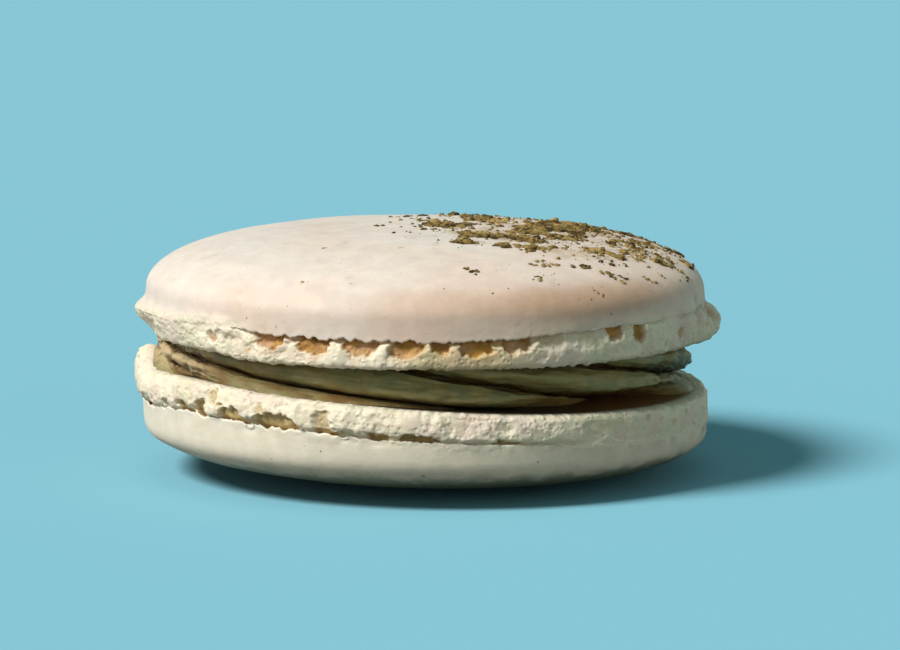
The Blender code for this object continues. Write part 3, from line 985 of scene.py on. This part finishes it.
def shell_finish(colours):
    """Baked almond crust: ivory and faintly peach on the dome, bubbly and toffee brown in the hollows."""
    finish = Finish(bpy.data.materials.new("almond_crust"))
    hollow = finish.stored("hollow")
    frill = finish.stored("frill")
    patch = finish.math(
        "ADD", finish.noise(90.0, 2.0), finish.ramp(finish.along("X"), -2 * MM, 14 * MM, 0.0, 0.35)
    )
    patch = finish.ramp(patch, 0.35, 0.8)
    crust = finish.mix(patch, rgb(colours.crust), rgb(colours.crust_peach))
    baked = finish.ramp(finish.stored("baked"), 0.0, 1.0)
    crust = finish.mix(
        finish.ramp(finish.along("Z"), 7 * MM, 9 * MM, 1.0, 0.0), crust, rgb(colours.crust_low)
    )
    crust = finish.mix(baked, crust, rgb(colours.crust_tan))
    crust = finish.mix(frill, crust, rgb(colours.foot))
    mottle = finish.ramp(finish.noise(700.0, 4.0), 0.3, 0.75, 0.93, 1.03)
    crust = finish.mix(1.0, crust, mottle, "MULTIPLY")
    pink = finish.math("MULTIPLY", frill, finish.ramp(finish.noise(330.0, 2.0), 0.48, 0.66, 0.0, 0.75))
    crust = finish.mix(pink, crust, rgb(colours.foot_pink))
    green = finish.math("MULTIPLY", frill, finish.ramp(finish.noise(270.0, 2.0), 0.46, 0.34, 0.0, 0.6))
    crust = finish.mix(green, crust, rgb(colours.foot_green))
    # Painted shade: the upper foot just right of the front is darkened towards pale toffee.
    shade = finish.math(
        "MULTIPLY",
        finish.ramp(finish.along("X"), -4 * MM, 1 * MM),
        finish.ramp(finish.along("X"), 5 * MM, 10 * MM, 1.0, 0.0),
    )
    shade = finish.math(
        "MULTIPLY",
        finish.math("MULTIPLY", shade, frill),
        finish.ramp(finish.along("Z"), 9 * MM, 11 * MM, 0.0, 0.6),
    )
    crust = finish.mix(shade, crust, rgb(colours.toffee_pale_and_shade))
    toffee = finish.mix(
        finish.ramp(finish.noise(700.0), 0.35, 0.65), rgb(colours.toffee), rgb(colours.toffee_dark_and_shade)
    )
    toffee = finish.mix(
        finish.ramp(finish.noise(380.0), 0.46, 0.6, 0.0, 0.75), toffee, rgb(colours.toffee_tan)
    )
    toffee = finish.mix(
        finish.ramp(finish.along("Z"), 8 * MM, 11 * MM, 1.0, 0.0), toffee, rgb(colours.toffee_pale_and_shade)
    )
    # Toffee in the hollows and pits: toasted crumb, with painted shade in the small pits.
    crust = finish.mix(finish.ramp(hollow, 0.15, 0.9, 0.0, 0.95), crust, toffee)
    # Painted shade on the inner face between the shells: near black, amber towards the right, partly soaked
    # crust.
    soaked_and_shaded = finish.mix(
        finish.ramp(finish.along("X"), 9 * MM, 15 * MM), rgb(colours.soaked_and_shaded), rgb(colours.soaked_and_shaded_amber)
    )
    crust = finish.mix(finish.stored("soaked_and_shaded"), crust, soaked_and_shaded)
    speck = finish.math(
        "MULTIPLY",
        finish.ramp(finish.cells(380.0), 0.04, 0.07, 1.0, 0.0),
        finish.ramp(finish.noise(160.0), 0.56, 0.64),
    )
    crust = finish.mix(finish.math("MULTIPLY", speck, 0.6), crust, rgb(colours.speck))
    powdered = finish.stored("dusting")
    smear = finish.math("ADD", finish.noise(450.0, 4.0), finish.math("MULTIPLY", powdered, 0.2))
    crust = finish.mix(finish.ramp(smear, 0.6, 0.85, 0.0, 0.6), crust, rgb(colours.smear))
    dust = finish.math("ADD", finish.noise(2600.0, 2.0), finish.math("MULTIPLY", powdered, 0.12))
    crust = finish.mix(finish.ramp(dust, 0.72, 0.78, 0.0, 0.7), crust, rgb(colours.powder_dark))
    # Dark olive blotches low on the lower dome, denser towards the ground: partly greenish marks, partly
    # painted contact shade.
    near_ground = finish.ramp(finish.along("Z"), 1.3 * MM, 3.4 * MM, 0.55, 0.0)
    stain_and_contact_shade = finish.ramp(finish.math("ADD", finish.noise(420.0, 3.0), near_ground), 0.5, 0.86)
    stain_and_contact_shade = finish.math("MULTIPLY", stain_and_contact_shade, finish.ramp(finish.along("Z"), 1.4 * MM, 3.8 * MM, 0.95, 0.0))
    crust = finish.mix(stain_and_contact_shade, crust, rgb(colours.stain_and_contact_shade))
    grain = finish.relief(finish.noise(2200.0, 4.0), 0.03 * MM)
    pores = finish.ramp(finish.cells(2400.0), 0.1, 0.5)
    pores = finish.mix(frill, (1.0, 1.0, 1.0, 1.0), pores)
    grain = finish.relief(pores, 0.05 * MM, grain)
    finish.set(
        Base_Color=crust, Roughness=finish.ramp(finish.noise(500.0), 0.3, 0.7, 0.5, 0.68), Normal=grain
    )
    finish.set(
        Specular_IOR_Level=0.35,
        Subsurface_Weight=0.22,
        Subsurface_Radius=(1.0, 0.55, 0.3),
        Subsurface_Scale=1.2 * MM,
    )
    return finish.owner


def cream_finish(colours):
    """Pistachio cream: olive in the light, darkened to brown as painted shade in the creases and painted
    shadow under the upper shell, smooth with faint streaks and torn grain.
    """
    finish = Finish(bpy.data.materials.new("pistachio_cream"))
    crest = finish.stored("crest")
    torn = finish.stored("torn")
    tone = finish.mix(
        finish.ramp(finish.noise(300.0, 4.0), 0.4, 0.6), rgb(colours.cream), rgb(colours.cream_green)
    )
    # Painted shade: the cream turns brown towards the bottom of each crease.
    tone = finish.mix(finish.ramp(crest, 0.2, 0.8, 0.95, 0.0), tone, rgb(colours.cream_brown_shade))
    # Painted shadow under the upper shell, with browned cream at the left end.
    brown = finish.math(
        "MULTIPLY", finish.stored("browned_and_shadowed"), finish.ramp(finish.noise(380.0, 4.0), 0.35, 0.6, 0.45, 1.0)
    )
    tone = finish.mix(brown, tone, rgb(colours.cream_brown_shade))
    # Painted shade: the cream drawn back between the shells is coloured dark toffee.
    tone = finish.mix(finish.stored("gap_shade"), tone, rgb(colours.toffee_dark_and_shade))
    crumbs = finish.mix(
        finish.ramp(finish.along("X"), 0.0, 10 * MM), rgb(colours.cream_torn), rgb(colours.cream_grey)
    )
    tone = finish.mix(
        finish.math("MULTIPLY", torn, finish.ramp(finish.noise(900.0), 0.32, 0.5)), tone, crumbs
    )
    fleck = finish.ramp(finish.cells(900.0), 0.10, 0.18, 0.7, 0.0)
    fleck = finish.math("MULTIPLY", fleck, finish.ramp(finish.noise(300.0), 0.5, 0.65))
    tone = finish.mix(fleck, tone, rgb(colours.cream_fleck))
    grain = finish.relief(finish.noise(1500.0, 5.0, 0.6), 0.06 * MM)
    finish.set(
        Base_Color=tone, Roughness=finish.ramp(finish.noise(600.0), 0.3, 0.7, 0.42, 0.62), Normal=grain
    )
    finish.set(
        Specular_IOR_Level=0.45,
        Subsurface_Weight=0.2,
        Subsurface_Radius=(1.0, 0.7, 0.3),
        Subsurface_Scale=1.5 * MM,
    )
    return finish.owner


def powder_finish(colours):
    """Ground nuts: golden olive with darker and browner bits, dull and gritty."""
    finish = Finish(bpy.data.materials.new("nut_powder"))
    tone = finish.mix(
        finish.ramp(finish.noise(900.0, 5.0, 0.7), 0.42, 0.57), rgb(colours.powder), rgb(colours.powder_dark)
    )
    tone = finish.mix(finish.ramp(finish.noise(420.0), 0.5, 0.66, 0.0, 0.6), tone, rgb(colours.powder_light))
    grit = finish.relief(finish.noise(3500.0, 5.0, 0.65), 0.12 * MM)
    finish.set(Base_Color=tone, Roughness=finish.ramp(finish.noise(900.0), 0.3, 0.7, 0.75, 0.95), Normal=grit)
    finish.set(Specular_IOR_Level=0.25)
    return finish.owner


# Settings ------------------------------------------------------------------------------------------------


def length(name, text, value):
    """A length property in metres."""
    return bpy.props.FloatProperty(
        name=name, description=text, default=value, unit="LENGTH", subtype="DISTANCE", precision=5
    )


def tilt(name, text, degrees):
    """An angle property, given in degrees."""
    return bpy.props.FloatProperty(
        name=name, description=text, default=math.radians(degrees), unit="ROTATION", subtype="ANGLE"
    )


def factor(name, text, value):
    """A plain number property."""
    return bpy.props.FloatProperty(name=name, description=text, default=value)


def colour(name, text, value):
    """A colour property."""
    return bpy.props.FloatVectorProperty(
        name=name, description=text, default=value, subtype="COLOR", size=3, min=0.0, max=1.0
    )


class TopShellSettings(bpy.types.PropertyGroup):
    """Sizes of the upper shell."""

    radius: length("Radius", "Radius of the smooth crust at its widest", 22.45 * MM)
    belt: length("Belt height", "Height of the widest part above the inner face", 3.65 * MM)
    dome_height: length("Dome height", "Height of the dome above its widest part", TOP_BOX[1].z - 14.6 * MM)
    roundness_across: factor("Roundness across", "How square the dome is in plan", 2.4)
    roundness_along: factor("Roundness along", "How square the dome is in height", 2.3)
    foot_height: length("Foot height", "Usual height of the ruffled foot", 2.75 * MM)
    foot_reach: length("Foot reach", "How far the foot stands out past the crust", 0.55 * MM)
    face_inset: length("Face inset", "How far the inner face's edge lies inside the crust", 0.55 * MM)
    crevice: length("Crevice depth", "Depth of the groove under the crust's lip", 0.4 * MM)
    pocket_depth: length("Pocket depth", "Depth of the hollows under the crust's lip", 0.75 * MM)
    face: length("Inner face", "Height of the inner face above the ground", 10.95 * MM)
    face_tilt: tilt("Face tilt", "Slope of the inner face towards the right", -0.35)
    dome_tilt: tilt("Dome tilt", "Slope of the dome towards the right", -0.3)


class BottomShellSettings(bpy.types.PropertyGroup):
    """Sizes of the lower shell."""

    radius: length("Radius", "Radius of the smooth crust at its widest", 22.75 * MM)
    belt: length("Belt height", "Height of the widest part above the inner face", 2.8 * MM)
    dome_height: length("Dome height", "Height of the dome above its widest part", 4.95 * MM)
    roundness_across: factor("Roundness across", "How square the dome is in plan", 2.2)
    roundness_along: factor("Roundness along", "How square the dome is in height", 3.4)
    foot_height: length("Foot height", "Usual height of the ruffled foot", 2.5 * MM)
    foot_reach: length("Foot reach", "How far the foot stands out past the crust", 0.55 * MM)
    face_inset: length("Face inset", "How far the inner face's edge lies inside the crust", 0.5 * MM)
    crevice: length("Crevice depth", "Depth of the groove over the crust's lip", 0.45 * MM)
    pocket_depth: length("Pocket depth", "Depth of the hollows over the crust's lip", 0.8 * MM)
    face: length("Inner face", "Height of the inner face above the ground", 7.8 * MM)
    face_tilt: tilt("Face tilt", "Slope of the inner face towards the right", -2.6)
    dome_tilt: tilt("Dome tilt", "Slope of the dome towards the right", -1.3)


class FillingSettings(bpy.types.PropertyGroup):
    """Sizes of the piped cream."""

    radius: length("Radius", "Radius at the crests of the rolls", 21.2 * MM)
    crease: length("Crease depth", "Usual depth of the creases between the rolls", 1.7 * MM)


class PowderSettings(bpy.types.PropertyGroup):
    """Amounts of the nut powder."""

    clumps: bpy.props.IntProperty(name="Clumps", description="How many clumps of powder", default=145)
    clump_size: length("Clump size", "Width of the widest crumbs in the clumps", 1.25 * MM)
    grains: bpy.props.IntProperty(name="Grains", description="How many single grains", default=1200)
    dust: bpy.props.IntProperty(name="Dust", description="How many specks of dust", default=1100)


class ColourSettings(bpy.types.PropertyGroup):
    """Colours of the macaron."""

    crust: colour("Crust", "Smooth crust of the domes", (0.82, 0.74, 0.67))
    crust_low: colour("Crust, lower shell", "Smooth crust of the lower dome", (0.85, 0.79, 0.65))
    crust_tan: colour("Crust, tan", "Baked band of crust beside the foot", (0.60, 0.40, 0.28))
    crust_peach: colour("Crust, peach", "Warmer patches of the crust", (0.82, 0.67, 0.57))
    foot: colour("Foot", "Ruffled foot", (0.86, 0.78, 0.61))
    foot_pink: colour("Foot, pink", "Pinkish patches of the foot", (0.80, 0.66, 0.57))
    foot_green: colour("Foot, green", "Greenish patches of the foot", (0.70, 0.70, 0.50))
    toffee: colour("Toffee", "Baked hollows of the foot", (0.52, 0.27, 0.04))
    toffee_tan: colour("Toffee, tan", "Pinkish patches of the baked hollows", (0.58, 0.35, 0.20))
    # Pale toffee also paints shade on the upper foot just right of the front.
    toffee_pale_and_shade: colour("Toffee, pale", "Baked hollows of the lower foot", (0.52, 0.38, 0.16))
    # Dark toffee also paints shade on the cream drawn back between the shells.
    toffee_dark_and_shade: colour("Toffee, dark", "Deepest part of the hollows", (0.38, 0.18, 0.035))
    # The soaked colours also paint the shade on the inner face between the shells.
    soaked_and_shaded: colour("Soaked crust", "Inner face of the shells, soaked by the cream", (0.03, 0.018, 0.006))
    soaked_and_shaded_amber: colour("Soaked crust, amber", "Inner face of the shells at the right", (0.17, 0.07, 0.015))
    speck: colour("Speck", "Ground nut skins in the crust", (0.20, 0.14, 0.06))
    smear: colour("Smear", "Crust rubbed with nut powder", (0.50, 0.36, 0.20))
    # The stain colour also paints contact shade low on the lower dome.
    stain_and_contact_shade: colour("Stain", "Greenish marks near the ground", (0.10, 0.11, 0.045))
    cream: colour("Cream", "Piped cream in the light", (0.36, 0.29, 0.11))
    cream_green: colour("Cream, green", "Greener patches of the cream", (0.25, 0.25, 0.11))
    # The brown cream colour paints shade in the creases and the shadow under the upper shell.
    cream_brown_shade: colour("Cream, brown", "The cream deep in its creases", (0.15, 0.08, 0.02))
    cream_torn: colour("Cream, torn", "Crumbly ends of the cream", (0.62, 0.48, 0.28))
    cream_grey: colour("Cream, grey", "Torn ends of the cream at the right", (0.13, 0.14, 0.09))
    cream_fleck: colour("Cream, flecks", "Nut flecks in the cream", (0.12, 0.09, 0.02))
    powder: colour("Powder", "Nut powder", (0.31, 0.21, 0.065))
    powder_light: colour("Powder, light", "Pale grains of the nut powder", (0.53, 0.38, 0.15))
    powder_dark: colour("Powder, dark", "Dark grains of the nut powder", (0.075, 0.045, 0.012))


class MacaronSettings(bpy.types.PropertyGroup):
    """All settings of the macaron."""

    top: bpy.props.PointerProperty(type=TopShellSettings, name="Upper shell", description="Upper shell")
    bottom: bpy.props.PointerProperty(type=BottomShellSettings, name="Lower shell", description="Lower shell")
    filling: bpy.props.PointerProperty(type=FillingSettings, name="Cream", description="Piped cream")
    powder: bpy.props.PointerProperty(type=PowderSettings, name="Powder", description="Nut powder")
    colours: bpy.props.PointerProperty(type=ColourSettings, name="Colours", description="Colours")


class MACARON_OT_shells(bpy.types.Operator):
    """Bake the two almond shells"""

    bl_idname = "macaron.shells"
    bl_label = "Shells"

    def execute(self, context):
        settings = context.scene.macaron
        crust = shell_finish(settings.colours)
        for form, node in (
            (top_form(settings.top), "top_shell"), (bottom_form(settings.bottom), "bottom_shell")
        ):
            add_piece(shell_mesh(form, dusting if node == "top_shell" else undusted), crust, "shell", node)
        return {"FINISHED"}


class MACARON_OT_filling(bpy.types.Operator):
    """Pipe the cream between the shells"""

    bl_idname = "macaron.filling"
    bl_label = "Cream"

    def execute(self, context):
        settings = context.scene.macaron
        mesh = filling_mesh(settings.filling, top_form(settings.top), bottom_form(settings.bottom))
        add_piece(mesh, cream_finish(settings.colours), "filling", "filling")
        return {"FINISHED"}


class MACARON_OT_powder(bpy.types.Operator):
    """Strew the nut powder over the crown"""

    bl_idname = "macaron.powder"
    bl_label = "Nut powder"

    def execute(self, context):
        settings = context.scene.macaron
        grit = powder_finish(settings.colours)
        for mesh in powder_meshes(settings.powder, top_form(settings.top)):
            add_piece(mesh, grit, "powder")
        return {"FINISHED"}


class MACARON_OT_stage(bpy.types.Operator):
    """Set the floor, the lights and the camera"""

    bl_idname = "macaron.stage"
    bl_label = "Stage"

    def execute(self, context):
        scene = context.scene
        mesh = bpy.data.meshes.new("floor")
        mesh.from_pydata([(-3, -3, 0), (3, -3, 0), (3, 3, 0), (-3, 3, 0)], [], [(0, 1, 2, 3)])
        floor = bpy.data.objects.new("floor", mesh)
        scene.collection.objects.link(floor)
        paint = Finish(bpy.data.materials.new("floor_paint"))
        paint.set(Roughness=0.9)
        bounced = paint.tree.nodes.new("ShaderNodeLightPath").outputs["Is Diffuse Ray"]
        paint.set(Base_Color=paint.mix(bounced, (0.235, 0.56, 0.70, 1.0), (0.09, 0.11, 0.10, 1.0)))
        mesh.materials.append(paint.owner)
        scene.world = bpy.data.worlds.new("studio")
        sky = Finish(scene.world, "Background", "Generated")
        card = sky.math(
            "MULTIPLY", sky.ramp(sky.along("X"), -0.3, 0.8), sky.ramp(sky.along("Z"), 0.15, 0.75, 1.0, 0.0)
        )
        front = sky.ramp(sky.math("ADD", sky.along("X"), sky.along("Y")), -0.2, -1.2)
        front = sky.math("MULTIPLY", front, sky.ramp(sky.along("Z"), 0.1, 0.6, 1.0, 0.0))
        tone = sky.mix(card, (0.06, 0.13, 0.14, 1.0), (0.62, 0.72, 0.65, 1.0))
        sky.set(Color=sky.mix(front, tone, (0.75, 0.74, 0.68, 1.0)))
        sun = bpy.data.lights.new("key", "SUN")
        sun.energy = 3.75
        sun.angle = math.radians(22)
        sun.color = (1.0, 0.96, 0.91)
        lamp = bpy.data.objects.new("key", sun)
        lamp.rotation_mode = "QUATERNION"
        lamp.rotation_quaternion = Vector((0.85, 0.52, -1.0)).to_track_quat("-Z", "Y")
        scene.collection.objects.link(lamp)
        camera = bpy.data.objects.new("camera", bpy.data.cameras.new("camera"))
        aim = Vector((2.0 * MM, 0.0, 11.5 * MM))
        rise = math.radians(7.5)
        distance = 0.35
        back = Vector((0.0, -math.cos(rise), math.sin(rise)))
        camera.location = aim + back * distance
        camera.rotation_mode = "QUATERNION"
        camera.rotation_quaternion = (-back).to_track_quat("-Z", "Y")
        camera.data.sensor_width = 36.0
        camera.data.lens = 36.0 * distance / (72.6 * MM)
        camera.data.clip_start = 0.01
        camera.data.clip_end = 10.0
        scene.collection.objects.link(camera)
        scene.camera = camera
        scene.view_settings.view_transform = "Standard"
        return {"FINISHED"}


class MACARON_PT_sidebar(bpy.types.Panel):
    """Lists the macaron's sizes and colours"""

    bl_label = "Macaron"
    bl_idname = "MACARON_PT_sidebar"
    bl_space_type = "VIEW_3D"
    bl_region_type = "UI"
    bl_category = "Macaron"

    def draw(self, context):
        settings = context.scene.macaron
        for key in ("top", "bottom", "filling", "powder", "colours"):
            group = getattr(settings, key)
            box = self.layout.box()
            box.label(text=settings.bl_rna.properties[key].name)
            for name in group.__annotations__:
                box.prop(group, name)
        for kind in OPERATORS:
            self.layout.operator(kind.bl_idname)


OPERATORS = (MACARON_OT_shells, MACARON_OT_filling, MACARON_OT_powder, MACARON_OT_stage)
GROUPS = (
    TopShellSettings, BottomShellSettings, FillingSettings, PowderSettings, ColourSettings, MacaronSettings
)
CLASSES = (*GROUPS, *OPERATORS, MACARON_PT_sidebar)


def register():
    """Register the classes and hang the settings on the scene."""
    for kind in CLASSES:
        bpy.utils.register_class(kind)
    bpy.types.Scene.macaron = bpy.props.PointerProperty(type=MacaronSettings)


def unregister():
    """Take the settings and the classes away again."""
    del bpy.types.Scene.macaron
    for kind in reversed(CLASSES):
        bpy.utils.unregister_class(kind)


def main():
    """Build the macaron piece by piece."""
    register()
    bpy.ops.macaron.shells()
    bpy.ops.macaron.filling()
    bpy.ops.macaron.powder()
    bpy.ops.macaron.stage()


if __name__ == "__main__":
    main()
